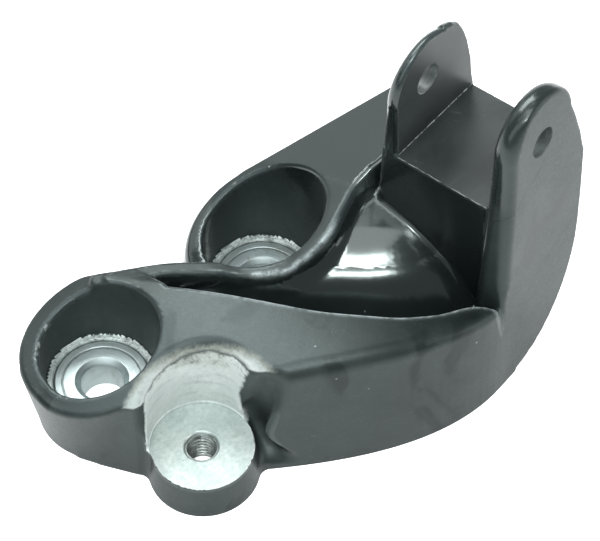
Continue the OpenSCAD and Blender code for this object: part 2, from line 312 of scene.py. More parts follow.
def cast_mesh():
    lo = np.array([c_lo[0] - 4, c_lo[1] - 4, -3.2])
    hi = np.array([c_hi[0] + 4, c_hi[1] + 4, c_hi[2] + 4])
    n = np.ceil((hi - lo) / VOX).astype(int) + 1
    xs = lo[0] + VOX * np.arange(n[0])
    ys = lo[1] + VOX * np.arange(n[1])
    zs = lo[2] + VOX * np.arange(n[2])
    D = cast_sdf(xs[:, None, None], ys[None, :, None], zs[None, None, :])
    D = np.maximum(D, -2.4 - zs[None, None, :])
    D = np.clip(D, -3 * VOX, 3 * VOX).astype(np.float32)
    g = vdb.FloatGrid(3 * VOX)
    g.copyFromArray(D, tolerance=0.0)
    pts, quads = g.convertToQuads(isovalue=0.0)
    P = np.asarray(pts, float) * VOX + lo
    Q = np.asarray(quads).copy()
    A, B, C, D4 = (P[Q[:, i]] for i in range(4))
    if (np.cross(C - A, D4 - B) * (A + B + C + D4)).sum() < 0:
        Q = Q[:, ::-1].copy()
    f = lambda x, y, z: np.maximum(cast_sdf(x, y, z), -2.4 - z)
    for _ in range(3):
        v = f(P[:, 0], P[:, 1], P[:, 2])
        G = grad(f, P)
        gg = np.maximum((G * G).sum(1), 0.2)
        step = (v / gg)[:, None] * G
        ln = np.linalg.norm(step, axis=1, keepdims=True)
        step *= np.minimum(1, 0.5 * VOX / np.maximum(ln, 1e-9))
        P = P - step
    return P, Q

# ----------------------------------------------------------------------------------------------------------------
# Mesh helpers
# ----------------------------------------------------------------------------------------------------------------
def new_obj(name, P, faces, scale=0.001):
    me = bpy.data.meshes.new(name)
    me.from_pydata([tuple(p) for p in (np.asarray(P) * scale)], [], [tuple(int(i) for i in f) for f in faces])
    me.update()
    ob = bpy.data.objects.new(name, me)
    bpy.context.scene.collection.objects.link(ob)
    return ob

def new_obj_np(name, P, Q, scale=0.001):
    me = bpy.data.meshes.new(name)
    P = (np.asarray(P, float) * scale).astype(np.float32)
    k = Q.shape[1]
    me.vertices.add(len(P))
    me.vertices.foreach_set("co", P.ravel())
    me.loops.add(Q.size)
    me.loops.foreach_set("vertex_index", Q.astype(np.int32).ravel())
    me.polygons.add(len(Q))
    me.polygons.foreach_set("loop_start", (np.arange(len(Q)) * k).astype(np.int32))
    me.update(calc_edges=True)
    me.validate()
    ob = bpy.data.objects.new(name, me)
    bpy.context.scene.collection.objects.link(ob)
    return ob

def revolve(name, prof, c=(0, 0), n=96):
    """Closed solid of revolution about a vertical axis. prof: (r, z) points, closed loop when r never reaches 0."""
    prof = np.asarray(prof, float)
    m = len(prof)
    a = np.arange(n) * 2 * math.pi / n
    P, F = [], []
    axis_pts = prof[:, 0] < 1e-9
    idx = np.zeros((n, m), int)
    for j in range(m):
        if axis_pts[j]:
            P.append((c[0], c[1], prof[j, 1]))
            idx[:, j] = len(P) - 1
        else:
            for i in range(n):
                P.append((c[0] + prof[j, 0] * math.cos(a[i]), c[1] + prof[j, 0] * math.sin(a[i]), prof[j, 1]))
                idx[i, j] = len(P) - 1
    closed = not axis_pts.any()
    for i in range(n):
        i2 = (i + 1) % n
        for j in range(m if closed else m - 1):
            j2 = (j + 1) % m
            f = [idx[i, j], idx[i2, j], idx[i2, j2], idx[i, j2]]
            g = []
            for v in f:
                if v not in g:
                    g.append(v)
            if len(g) >= 3:
                F.append(g)
    ob = new_obj(name, P, F)
    fix_normals(ob)
    return ob

def fix_normals(ob):
    import bmesh
    bm = bmesh.new()
    bm.from_mesh(ob.data)
    bmesh.ops.remove_doubles(bm, verts=bm.verts, dist=1e-7)
    bmesh.ops.recalc_face_normals(bm, faces=bm.faces)
    bm.to_mesh(ob.data)
    bm.free()

def prism(name, poly, z0, z1, frame_local=True):
    """Closed prism over a polygon; with frame_local the polygon is (s, w) of the clevis."""
    P = []
    for z in (z0, z1):
        for a, b in poly:
            if frame_local:
                P.append((CO[0] + a * CT - b * ST, CO[1] + a * ST + b * CT, z))
            else:
                P.append((a, b, z))
    n = len(poly)
    F = [list(range(n))[::-1], list(range(n, 2 * n))]
    for i in range(n):
        F.append([i, (i + 1) % n, n + (i + 1) % n, n + i])
    ob = new_obj(name, P, F)
    fix_normals(ob)
    return ob

def cut(target, tool, op="DIFFERENCE"):
    m = target.modifiers.new("cut", "BOOLEAN")
    m.operation = op
    m.object = tool
    m.solver = "MANIFOLD"
    dg = bpy.context.evaluated_depsgraph_get()
    dg.update()
    me = bpy.data.meshes.new_from_object(target.evaluated_get(dg))
    if len(me.polygons) < 100:
        raise RuntimeError("boolean failed: " + tool.name)
    target.modifiers.clear()
    old = target.data
    target.data = me
    bpy.data.meshes.remove(old)
    bpy.data.objects.remove(tool)

# ----------------------------------------------------------------------------------------------------------------
# Build the casting
# ----------------------------------------------------------------------------------------------------------------
P0, Q0 = cast_mesh()
casting = new_obj_np("casting_body", P0, Q0)

# mounting face
big = 120
cut(casting, prism("t_base", [(-100, -120), (140, -120), (140, 80), (-100, 80)], -20, 0, False))
# machined slot between the cheeks
cut(casting, prism("t_slot", [(-12, IN_W), (60, IN_W), (60, FAR_W), (-12, FAR_W)], LEDGE_Z, 140))
# spot face milled round the ear
cut(casting, revolve("t_spot", [(0, EAR_Z), (12.9, EAR_Z), (12.9, EAR_Z + 0.6), (0, EAR_Z + 0.6)], E, 200))
# recesses for the sleeve flanges, spot-faced rims, and the barrel holes
for c in (L, R):
    cut(casting, revolve("t_seat", [(0, SEAT_Z - 2.4), (FLANGE_R + 0.18, SEAT_Z - 2.4), (FLANGE_R + 0.18, SEAT_Z + 0.10),
                                    (FLANGE_R + 0.55, SEAT_Z + 0.60), (13.55, SEAT_Z + 0.62), (13.62, SEAT_Z + 3.0),
                                    (0, SEAT_Z + 3.0)], c, 128))
    cut(casting, revolve("t_barrel", [(0, -1), (8.02, -1), (8.02, SEAT_Z - 2), (0, SEAT_Z - 2)], c, 96))
# insert hole with its lead-in
cut(casting, revolve("t_ins", [(0, -1), (INS_R + 0.03, -1), (INS_R + 0.03, EAR_Z - 0.42), (INS_R + 0.45, EAR_Z), (INS_R + 0.45, EAR_Z + 2),
                               (0, EAR_Z + 2)], E, 96))
# pin hole through both cheeks
def pin_tool():
    n = 64
    P, F = [], []
    for wv in (-6.0, 60.0):
        for i in range(n):
            a = 2 * math.pi * i / n
            s = PIN_S + PIN_R * math.cos(a)
            P.append((CO[0] + s * CT - wv * ST, CO[1] + s * ST + wv * CT, PIN_Z + PIN_R * math.sin(a)))
    F = [list(range(n)), list(range(n, 2 * n))[::-1]]
    for i in range(n):
        F.append([i, n + i, n + (i + 1) % n, (i + 1) % n])
    ob = new_obj("t_pin", P, F)
    fix_normals(ob)
    return ob
cut(casting, pin_tool())

# ----------------------------------------------------------------------------------------------------------------
# Which faces are cast and which are machined, and the shading normals of the cast ones
# ----------------------------------------------------------------------------------------------------------------
def classify(ob):
    me = ob.data
    n = len(me.polygons)
    cen = np.empty(n * 3)
    me.polygons.foreach_get("center", cen)
    nor = np.empty(n * 3)
    me.polygons.foreach_get("normal", nor)
    C = cen.reshape(-1, 3) * 1000.0
    N = nor.reshape(-1, 3)
    X, Y, Z = C.T
    s = (X - CO[0]) * CT + (Y - CO[1]) * ST
    w = -(X - CO[0]) * ST + (Y - CO[1]) * CT
    nw = -N[:, 0] * ST + N[:, 1] * CT
    kind = np.zeros(n, int)
    er = np.hypot(X - E[0], Y - E[1])
    erad = ((X - E[0]) * N[:, 0] + (Y - E[1]) * N[:, 1]) / np.maximum(er, 1e-6)
    on_ear = (np.abs(Z - EAR_Z) < 0.03) & (er < 13.05) & (N[:, 2] > 0.9)
    on_ramp = (er < 12.95) & (Z < EAR_Z + 0.61) & (Z > EAR_Z - 0.01) & (erad < -0.7)
    kind[on_ramp] = 1
    kind[on_ear] = 2
    on_base = (Z < 0.02) & (N[:, 2] < -0.9)
    kind[on_base] = 3
    in_gap = (w > IN_W - 0.02) & (w < FAR_W + 0.02) & (s > -2) & (s < 36)
    kind[in_gap & (np.abs(Z - LEDGE_Z) < 0.03) & (N[:, 2] > 0.9)] = 4
    kind[(s > -2) & (Z > LEDGE_Z) & (((np.abs(w - IN_W) < 0.03) & (nw > 0.95)) | ((np.abs(w - FAR_W) < 0.03) & (nw < -0.95)))] = 5
    for c in (L, R):
        rr = np.hypot(X - c[0], Y - c[1])
        kind[(rr < 13.7) & (Z < FLOOR_Z + 0.2)] = 6
        kind[(rr < 8.3) & (Z < SEAT_Z - 2.3)] = 7
    kind[(er < INS_R + 0.5) & (Z < EAR_Z + 0.02) & (N[:, 2] < 0.9)] = 7
    ps = np.hypot(s - PIN_S, Z - PIN_Z)
    kind[(ps < PIN_R + 0.03) & (s > -2) & (Z > 70)] = 8
    return kind, C, N

kind, FC, FN = classify(casting)

def set_normals(ob, kind):
    me = ob.data
    nl = len(me.loops)
    lv = np.empty(nl, np.int32)
    me.loops.foreach_get("vertex_index", lv)
    ls = np.empty(len(me.polygons), np.int32)
    me.polygons.foreach_get("loop_start", ls)
    lt = np.empty(len(me.polygons), np.int32)
    me.polygons.foreach_get("loop_total", lt)
    lp = np.repeat(np.arange(len(me.polygons)), lt)
    co = np.empty(len(me.vertices) * 3)
    me.vertices.foreach_get("co", co)
    V = co.reshape(-1, 3) * 1000.0
    fn = np.empty(len(me.polygons) * 3)
    me.polygons.foreach_get("normal", fn)
    fn = fn.reshape(-1, 3)
    out = fn[lp].copy()
    k = kind[lp]
    used = np.unique(lv[k == 0])
    G = np.zeros_like(V)
    G[used] = grad(cast_sdf, V[used], 0.06)
    ln = np.linalg.norm(G, axis=1, keepdims=True)
    G = np.where(ln > 1e-6, G / np.maximum(ln, 1e-9), G)
    m = k == 0
    g = G[lv[m]]
    ok = (g * out[m]).sum(1) > 0.35
    sel = np.where(m)[0][ok]
    out[sel] = g[ok]
    # round machined walls
    def radial(mask, c, slope, sign):
        i = np.where(mask)[0]
        p = V[lv[i]]
        d = p[:, :2] - c
        r = np.maximum(np.linalg.norm(d, axis=1, keepdims=True), 1e-6)
        v = np.hstack([sign * d / r, np.full((len(i), 1), slope)])
        v /= np.linalg.norm(v, axis=1, keepdims=True)
        out[i] = v
    i = np.where(k == 1)[0]
    p = V[lv[i]]
    d = p[:, :2] - E[None]
    d = d / np.maximum(np.linalg.norm(d, axis=1, keepdims=True), 1e-6)
    v = np.hstack([-d, np.full((len(d), 1), SPOT_K)])
    out[i] = v / np.linalg.norm(v, axis=1, keepdims=True)
    vert = np.abs(fn[lp][:, 2]) < 0.3
    for c in (L, R):
        rr = np.hypot(V[lv][:, 0] - c[0], V[lv][:, 1] - c[1])
        radial(((k == 6) | (k == 7)) & vert & (rr < 14.5), c, 0.0, -1.0)
    rr = np.hypot(V[lv][:, 0] - E[0], V[lv][:, 1] - E[1])
    radial((k == 7) & vert & (rr < 5.5), E, 0.0, -1.0)
    i = np.where(k == 8)[0]
    p = V[lv[i]]
    s = (p[:, 0] - CO[0]) * CT + (p[:, 1] - CO[1]) * ST - PIN_S
    z = p[:, 2] - PIN_Z
    r = np.maximum(np.hypot(s, z), 1e-6)
    out[i] = np.stack([-s / r * CT, -s / r * ST, -z / r], 1)
    me.polygons.foreach_set("use_smooth", np.ones(len(me.polygons), bool))
    me.normals_split_custom_set([tuple(v) for v in out.astype(float)])
    me.update()
    return V

VERTS = set_normals(casting, kind)

# ----------------------------------------------------------------------------------------------------------------
# Attributes the coat's material reads: gloss, convex edges, and the line along the arris and ridge crest
# ----------------------------------------------------------------------------------------------------------------
def coat_attributes(ob, V):
    X, Y, Z = V.T
    P = V.copy()
    G = grad(cast_sdf, P, 0.06)
    ln = np.maximum(np.linalg.norm(G, axis=1, keepdims=True), 1e-6)
    Nn = G / ln
    Qp = P - Nn * 1.4
    conv = np.clip((cast_sdf(Qp[:, 0], Qp[:, 1], Qp[:, 2]) + 1.4) / 0.26, 0, 1)
    s = (X - CO[0]) * CT + (Y - CO[1]) * ST
    w = -(X - CO[0]) * ST + (Y - CO[1]) * CT
    inner = sd_poly(X, Y, INNER_POLY)
    dB = sd_poly(X, Y, B_POLY)
    dr, zr = poly_line(X, Y, RIB, RIB_Z)
    on_rib = smooth((3.4 - dr) / 1.2) * smooth((Z - zr + 3.0) / 1.5)
    pocket = smooth((np.minimum(inner - 0.6, dB - 0.2)) / 1.4) * smooth((Z - 12) / 3) * smooth((3 - s) / 2) * (1 - on_rib)
    pocket = pocket * np.where(s > -9, smooth((w - 7.5) / 3.0), 1.0) * smooth((-0.75 - sd_poly(X, Y, OUTER_POLY)) / 1.5)
    block = smooth((s + 1.5) / 2.0) * smooth((w - 8.5) / 2.5) * smooth((62.5 - Z) / 1.5)
    top_round = 0.7 * smooth((Z - 62) / 6) * smooth(1.0 - np.abs(Nn @ np.array([-ST, CT, 0.0])) * 1.05 + 0.1)
    gloss = np.clip(np.maximum(np.maximum(pocket, block), top_round), 0, 1)
    za = z_arm(X, Y)
    # bright line along the arm's arris, partly rubbed coat and partly a painted highlight; along the ridge crest it is
    # only a painted highlight
    arris_rub_and_highlight = np.exp(-((inner - 0.1) / 0.75) ** 2) * smooth((Z - za + 2.2) / 1.2) * smooth((-1 - s) / 2) * smooth((s + 47) / 8)
    dk, _ = poly_line(X, Y, RIDGE, np.zeros(len(RIDGE)))
    ridge_crest_highlight = 0.55 * np.exp(-(dk / 0.6) ** 2) * smooth((Z - z_back(X, Y) + 2.2) / 1.2) * smooth((38 - X) / 6)
    arris_rub_and_highlight = np.maximum(arris_rub_and_highlight, ridge_crest_highlight)
    for name, val in (("gloss", gloss), ("convex", conv), ("arris_rub_and_highlight", arris_rub_and_highlight)):
        a = ob.data.attributes.new(name, "FLOAT", "POINT")
        a.data.foreach_set("value", val.astype(np.float32))

coat_attributes(casting, VERTS)

# ----------------------------------------------------------------------------------------------------------------
# Materials
# ----------------------------------------------------------------------------------------------------------------
class NT:
    def __init__(self, name):
        self.m = bpy.data.materials.new(name)
        self.m.use_nodes = True
        self.t = self.m.node_tree
        self.t.nodes.clear()
        self.out = self.t.nodes.new("ShaderNodeOutputMaterial")
        self.bsdf = self.t.nodes.new("ShaderNodeBsdfPrincipled")
        self.t.links.new(self.bsdf.outputs[0], self.out.inputs[0])
        self.tc = self.t.nodes.new("ShaderNodeTexCoord").outputs["Object"]
        self.geo = self.t.nodes.new("ShaderNodeNewGeometry")

    def put(self, sock, v):
        if v is None:
            return
        if isinstance(v, bpy.types.NodeSocket):
            self.t.links.new(v, sock)
        elif isinstance(v, (tuple, list)) and hasattr(sock, "default_value") and hasattr(sock.default_value, "__len__"):
            n = len(sock.default_value)
            sock.default_value = (list(v) + [1.0] * 4)[:n]
        else:
            sock.default_value = v

    def math(self, op, a, b=None, c=None, clamp=False):
        n = self.t.nodes.new("ShaderNodeMath")
        n.operation = op
        n.use_clamp = clamp
        for i, v in enumerate((a, b, c)):
            self.put(n.inputs[i], v) if v is not None else None
        return n.outputs[0]

    def vmath(self, op, a, b=None, scale=None):
        n = self.t.nodes.new("ShaderNodeVectorMath")
        n.operation = op
        self.put(n.inputs[0], a)
        if b is not None:
            self.put(n.inputs[1], b)
        if scale is not None:
            self.put(n.inputs["Scale"], scale)
        return n.outputs["Value"] if op in ("DOT_PRODUCT", "LENGTH", "DISTANCE") else n.outputs[0]

    def mapping(self, vec, scale=(1, 1, 1), rot=(0, 0, 0), loc=(0, 0, 0)):
        n = self.t.nodes.new("ShaderNodeMapping")
        self.put(n.inputs["Vector"], vec)
        n.inputs["Scale"].default_value = scale
        n.inputs["Rotation"].default_value = rot
        n.inputs["Location"].default_value = loc
        return n.outputs[0]

    def noise(self, vec, scale, detail=4.0, rough=0.55, distort=0.0, lac=2.0):
        n = self.t.nodes.new("ShaderNodeTexNoise")
        self.put(n.inputs["Vector"], vec)
        n.inputs["Scale"].default_value = scale
        n.inputs["Detail"].default_value = detail
        n.inputs["Roughness"].default_value = rough
        n.inputs["Distortion"].default_value = distort
        n.inputs["Lacunarity"].default_value = lac
        return n.outputs["Fac"]

    def voronoi(self, vec, scale, feature="F1", rand=1.0):
        n = self.t.nodes.new("ShaderNodeTexVoronoi")
        n.feature = feature
        self.put(n.inputs["Vector"], vec)
        n.inputs["Scale"].default_value = scale
        n.inputs["Randomness"].default_value = rand
        return n

    def ramp(self, v, lo, hi, a=0.0, b=1.0, kind="SMOOTHSTEP"):
        n = self.t.nodes.new("ShaderNodeMapRange")
        n.interpolation_type = kind
        self.put(n.inputs["Value"], v)
        self.put(n.inputs["From Min"], lo)
        self.put(n.inputs["From Max"], hi)
        self.put(n.inputs["To Min"], a)
        self.put(n.inputs["To Max"], b)
        return n.outputs[0]

    def mix(self, f, a, b, kind="RGBA", blend="MIX"):
        n = self.t.nodes.new("ShaderNodeMix")
        n.data_type = kind
        if kind == "RGBA":
            n.blend_type = blend
            self.put(n.inputs[0], f)
            self.put(n.inputs[6], a)
            self.put(n.inputs[7], b)
            return n.outputs[2]
        self.put(n.inputs[0], f)
        self.put(n.inputs[2], a)
        self.put(n.inputs[3], b)
        return n.outputs[0]

    def fmix(self, f, a, b):
        return self.mix(f, a, b, "FLOAT")

    def attr(self, name):
        n = self.t.nodes.new("ShaderNodeAttribute")
        n.attribute_name = name
        return n.outputs["Fac"]

    def sep(self, vec):
        n = self.t.nodes.new("ShaderNodeSeparateXYZ")
        self.put(n.inputs[0], vec)
        return n.outputs

    def comb(self, x, y, z):
        n = self.t.nodes.new("ShaderNodeCombineXYZ")
        for i, v in enumerate((x, y, z)):
            self.put(n.inputs[i], v)
        return n.outputs[0]

    def bevel(self, radius, samples=4):
        n = self.t.nodes.new("ShaderNodeBevel")
        n.samples = samples
        n.inputs["Radius"].default_value = radius
        return n.outputs[0]

    def bump(self, h, strength, dist, normal=None):
        n = self.t.nodes.new("ShaderNodeBump")
        n.inputs["Strength"].default_value = strength
        n.inputs["Distance"].default_value = dist
        self.put(n.inputs["Height"], h)
        if normal is not None:
            self.put(n.inputs["Normal"], normal)
        return n.outputs[0]

    def set(self, **kw):
        for k, v in kw.items():
            self.put(self.bsdf.inputs[k.replace("_", " ")], v)

def lin(r, g, b):
    def f(c):
        c /= 255.0
        return c / 12.92 if c <= 0.04045 else ((c + 0.055) / 1.055) ** 2.4
    return (f(r), f(g), f(b), 1.0)

EX, EY = float(E[0]) / 1000, float(E[1]) / 1000

def ear_distance(n):
    """Metres outside the milled cone round the ear, negative inside it."""
    x, y, z = n.sep(n.tc)[:3]
    up = n.math("SUBTRACT", z, 0.010)
    dx = n.math("SUBTRACT", n.math("SUBTRACT", x, EX), n.math("MULTIPLY", up, float(SWEEP_C[0])))
    dy = n.math("SUBTRACT", n.math("SUBTRACT", y, EY), n.math("MULTIPLY", up, float(SWEEP_C[1])))
    r = n.math("SQRT", n.math("ADD", n.math("MULTIPLY", dx, dx), n.math("MULTIPLY", dy, dy)))
    cone = n.math("ADD", n.math("MULTIPLY", up, SWEEP_R), 0.0130)
    ex, ey = n.math("SUBTRACT", x, EX), n.math("SUBTRACT", y, EY)
    return n.math("SUBTRACT", r, cone), n.math("SQRT", n.math("ADD", n.math("MULTIPLY", ex, ex), n.math("MULTIPLY", ey, ey)))

def alloy(n):
    """Colour, roughness and height of bare cast aluminium that has been milled or worn bright."""
    grain = n.noise(n.tc, 900, 5, 0.65)
    cloud = n.noise(n.tc, 120, 4, 0.6)
    col = n.mix(n.ramp(cloud, 0.3, 0.7), lin(204, 216, 213), lin(228, 236, 233))
    col = n.mix(n.ramp(grain, 0.38, 0.62, 0.0, 0.28), col, lin(166, 177, 174))
    rough = n.ramp(grain, 0.2, 0.8, 0.38, 0.62, "LINEAR")
    return col, rough, grain

def make_coat():
    n = NT("black_casting_coat")
    gloss = n.attr("gloss")
    convex = n.attr("convex")
    x, y, z = n.sep(n.tc)[:3]
    nz = n.sep(n.geo.outputs["Normal"])[2]
    # tone of the coat
    cloud = n.noise(n.tc, 55, 5, 0.6, 0.3)
    fine = n.noise(n.tc, 1600, 3, 0.6)
    mid = n.noise(n.tc, 320, 5, 0.65)
    col = n.mix(n.ramp(cloud, 0.3, 0.7), (0.0085, 0.0115, 0.0118), (0.0150, 0.0200, 0.0200))
    col = n.mix(n.math("MULTIPLY", n.ramp(mid, 0.45, 0.75, 0.0, 0.35), n.math("SUBTRACT", 1.0, gloss)), col, (0.026, 0.032, 0.032))
    col = n.mix(n.math("MULTIPLY", gloss, 0.75), col, (0.0055, 0.0075, 0.0078))
    # roughness
    smudge = n.noise(n.tc, 34, 4, 0.55, 0.6)
    r_sat = n.ramp(smudge, 0.25, 0.75, 0.36, 0.48, "LINEAR")
    r_sat = n.math("ADD", r_sat, n.ramp(fine, 0.3, 0.7, -0.04, 0.05, "LINEAR"))
    r_glo = n.ramp(smudge, 0.3, 0.7, 0.12, 0.19, "LINEAR")
    rough = n.fmix(gloss, r_sat, r_glo)
    # long fine scratches on the outer walls
    sv = n.mapping(n.tc, (1, 1, 1), (0.3, 0.55, 0.2))
    sv = n.mapping(sv, (60, 1400, 900))
    sc1 = n.noise(sv, 1.0, 2, 0.5)
    sv2 = n.mapping(n.tc, (1, 1, 1), (0.9, -0.35, 0.5))
    sv2 = n.mapping(sv2, (1100, 45, 1300))
    sc2 = n.noise(sv2, 1.0, 2, 0.5)
    scr = n.math("MAXIMUM", n.ramp(sc1, 0.66, 0.73), n.ramp(sc2, 0.67, 0.74))
    scr = n.math("MULTIPLY", scr, n.ramp(n.noise(n.tc, 60, 3, 0.5), 0.42, 0.62))
    scr = n.math("MULTIPLY", scr, n.fmix(gloss, 0.75, 0.10))
    col = n.mix(n.math("MULTIPLY", scr, 0.35), col, (0.070, 0.085, 0.085))
    # dark veins where something has rubbed the satin flat
    vein = n.noise(n.tc, 22, 3, 0.5, 0.5)
    vein = n.math("MULTIPLY", n.ramp(n.math("ABSOLUTE", n.math("SUBTRACT", vein, 0.5)), 0.002, 0.010, 1.0, 0.0), n.math("SUBTRACT", 1.0, gloss))
    vein = n.math("MULTIPLY", vein, n.math("MULTIPLY", n.ramp(n.noise(n.tc, 30, 2, 0.5), 0.50, 0.62), n.ramp(nz, 0.2, 0.5, 0.55, 0.0)))
    col = n.mix(n.math("MULTIPLY", vein, 0.45), col, (0.005, 0.0065, 0.007))
    blot = n.noise(n.mapping(n.tc, (1, 1, 0.6), (0.4, 0.2, 0.7)), 62, 3, 0.5, 0.8)
    blot = n.math("MULTIPLY", n.ramp(blot, 0.60, 0.68), n.math("SUBTRACT", 1.0, gloss))
    col = n.mix(n.math("MULTIPLY", blot, 0.5), col, (0.006, 0.008, 0.008))
    rough = n.fmix(n.math("MULTIPLY", blot, 0.5), rough, 0.30)
    # dust specks
    vo = n.voronoi(n.tc, 420)
    pick = n.math("GREATER_THAN", n.sep(vo.outputs["Color"])[0], 0.965)
    speck = n.math("MULTIPLY", pick, n.ramp(vo.outputs["Distance"], 0.08, 0.14, 1.0, 0.0))
    speck = n.math("MULTIPLY", speck, n.ramp(n.noise(n.tc, 90, 2, 0.5), 0.45, 0.6))
    col = n.mix(n.math("MULTIPLY", speck, 0.5), col, (0.40, 0.43, 0.42))
    # wear on convex edges, broken into chips, with a lighter edge band that is partly rubbed coat and partly a painted
    # highlight
    chip = n.noise(n.tc, 620, 4, 0.65)
    chip2 = n.noise(n.tc, 110, 3, 0.6)
    jitter = n.math("ADD", n.math("MULTIPLY", n.math("SUBTRACT", chip, 0.5), 0.8), n.math("MULTIPLY", n.math("SUBTRACT", chip2, 0.5), 1.3))
    # lighter colour on convex edges: partly rubbed coat, partly a painted highlight
    edge_rub_and_highlight = n.math("MULTIPLY", n.ramp(n.math("ADD", convex, n.math("MULTIPLY", jitter, 0.25)), 0.30, 0.65), 0.40)
    col = n.mix(edge_rub_and_highlight, col, (0.060, 0.074, 0.076))
    rough = n.fmix(edge_rub_and_highlight, rough, 0.20)
    # painted highlight, partly rubbed coat: a near-white line along the arm's arris and the ridge crest
    arris_rub_and_highlight = n.math("MULTIPLY", n.attr("arris_rub_and_highlight"), n.ramp(n.math("ADD", chip, n.math("MULTIPLY", chip2, 0.6)), 0.62, 0.86, 0.35, 1.0))
    col = n.mix(n.math("MULTIPLY", arris_rub_and_highlight, 0.9), col, (0.62, 0.70, 0.71))
    rough = n.fmix(arris_rub_and_highlight, rough, 0.24)
    wear = n.math("MULTIPLY", n.ramp(n.math("ADD", convex, n.math("MULTIPLY", jitter, 0.9)), 1.14, 1.26), 0.55)
    # bare metal on the arm round the milled ear, feathered into the coat, on what faces up
    ed, er0 = ear_distance(n)
    na = n.math("SUBTRACT", n.noise(n.tc, 260, 6, 0.7), 0.5)
    nb = n.math("SUBTRACT", n.noise(n.tc, 1500, 3, 0.7), 0.5)
    edn = n.math("ADD", ed, n.math("ADD", n.math("MULTIPLY", na, 0.0022), n.math("MULTIPLY", nb, 0.0014)))
    faces = n.ramp(n.math("ADD", nz, n.math("MULTIPLY", na, 0.5)), 0.30, 0.62)
    spot = n.ramp(n.math("ADD", er0, n.math("MULTIPLY", na, 0.0012)), 0.01335, 0.01375, 1.0, 0.0)
    faces = n.math("MAXIMUM", faces, spot)
    bare = n.math("MULTIPLY", n.ramp(edn, -0.0002, 0.0018, 1.0, 0.0), n.math("MULTIPLY", faces, n.ramp(z, 0.00985, 0.00995)))
    thin = n.math("MULTIPLY", n.ramp(edn, -0.0040, -0.0008), n.ramp(z, 0.0235, 0.0275))
    thin = n.math("MULTIPLY", thin, n.ramp(n.noise(n.tc, 520, 5, 0.7), 0.50, 0.62))
    bare = n.math("MULTIPLY", bare, n.math("SUBTRACT", 1.0, n.math("MULTIPLY", thin, 0.10)))
    wear = n.math("MAXIMUM", wear, bare)
    wear = n.math("MINIMUM", wear, 1.0)
    acol, arough, agrain = alloy(n)
    # sheen on the arm top beside the ear, darker towards its far end
    flat_top = n.math("MULTIPLY", n.math("MULTIPLY", n.ramp(nz, 0.72, 0.92), n.math("SUBTRACT", 1.0, gloss)), n.ramp(z, 0.037, 0.040, 1.0, 0.0))
    col = n.mix(n.math("MULTIPLY", n.math("MULTIPLY", flat_top, n.ramp(er0, 0.015, 0.040, 1.0, 0.0)), 0.50), col, (0.050, 0.063, 0.067))
    dark = n.math("MULTIPLY", flat_top, n.ramp(er0, 0.030, 0.055, 0.0, 0.5))
    acol = n.mix(0.35, acol, (1.0, 1.0, 1.0, 1.0))
    swirl = n.math("SINE", n.math("MULTIPLY", n.math("ADD", er0, n.math("MULTIPLY", z, 0.25)), 2 * math.pi / 0.0011))
    swirl = n.math("MULTIPLY", swirl, n.ramp(n.noise(n.tc, 170, 3, 0.6), 0.45, 0.6))
    acol = n.mix(n.ramp(swirl, 0.2, 1.0, 0.0, 0.35), acol, lin(186, 196, 194))
    acol = n.mix(n.math("MULTIPLY", n.math("MULTIPLY", n.ramp(edn, -0.0012, 0.0006), n.ramp(z, 0.0245, 0.0280)), 0.65), acol, lin(140, 138, 124))
    # painted shade: bare metal that faces up is made darker than bare metal on the walls
    acol = n.mix(n.ramp(nz, 0.35, 0.9), acol, n.mix(1.0, acol, (0.62, 0.64, 0.64, 1.0), blend="MULTIPLY"))
    acol = n.mix(n.ramp(z, 0.0104, 0.0116), acol, n.mix(1.0, acol, (0.70, 0.71, 0.70, 1.0), blend="MULTIPLY"))
    col = n.mix(wear, col, acol)
    rough = n.fmix(wear, rough, n.math("ADD", arough, 0.08))
    h = n.math("ADD", n.math("MULTIPLY", fine, n.fmix(gloss, 0.9, 0.05)), n.math("MULTIPLY", mid, n.fmix(gloss, 0.8, 0.10)))
    h = n.math("SUBTRACT", h, n.math("MULTIPLY", scr, 0.3))
    h = n.math("SUBTRACT", h, n.math("MULTIPLY", wear, 0.5))
    nrm = n.bump(h, 0.30, 0.00010)
    n.set(Base_Color=col, Roughness=rough, Metallic=n.math("MULTIPLY", wear, 0.10), IOR=1.50, Normal=nrm)
    n.put(n.bsdf.inputs["Specular IOR Level"], n.fmix(n.math("MAXIMUM", dark, n.math("MAXIMUM", n.math("MULTIPLY", blot, 0.6), n.math("MULTIPLY", vein, 0.8))), n.fmix(gloss, 0.46, 0.50), 0.20))
    n.put(n.bsdf.inputs["Specular Tint"], (0.85, 1.0, 0.965, 1.0))
    n.put(n.bsdf.inputs["Coat Weight"], n.math("MULTIPLY", n.math("MULTIPLY", gloss, 0.35), n.math("SUBTRACT", 1.0, wear)))
    n.put(n.bsdf.inputs["Coat Roughness"], 0.10)
    return n.m

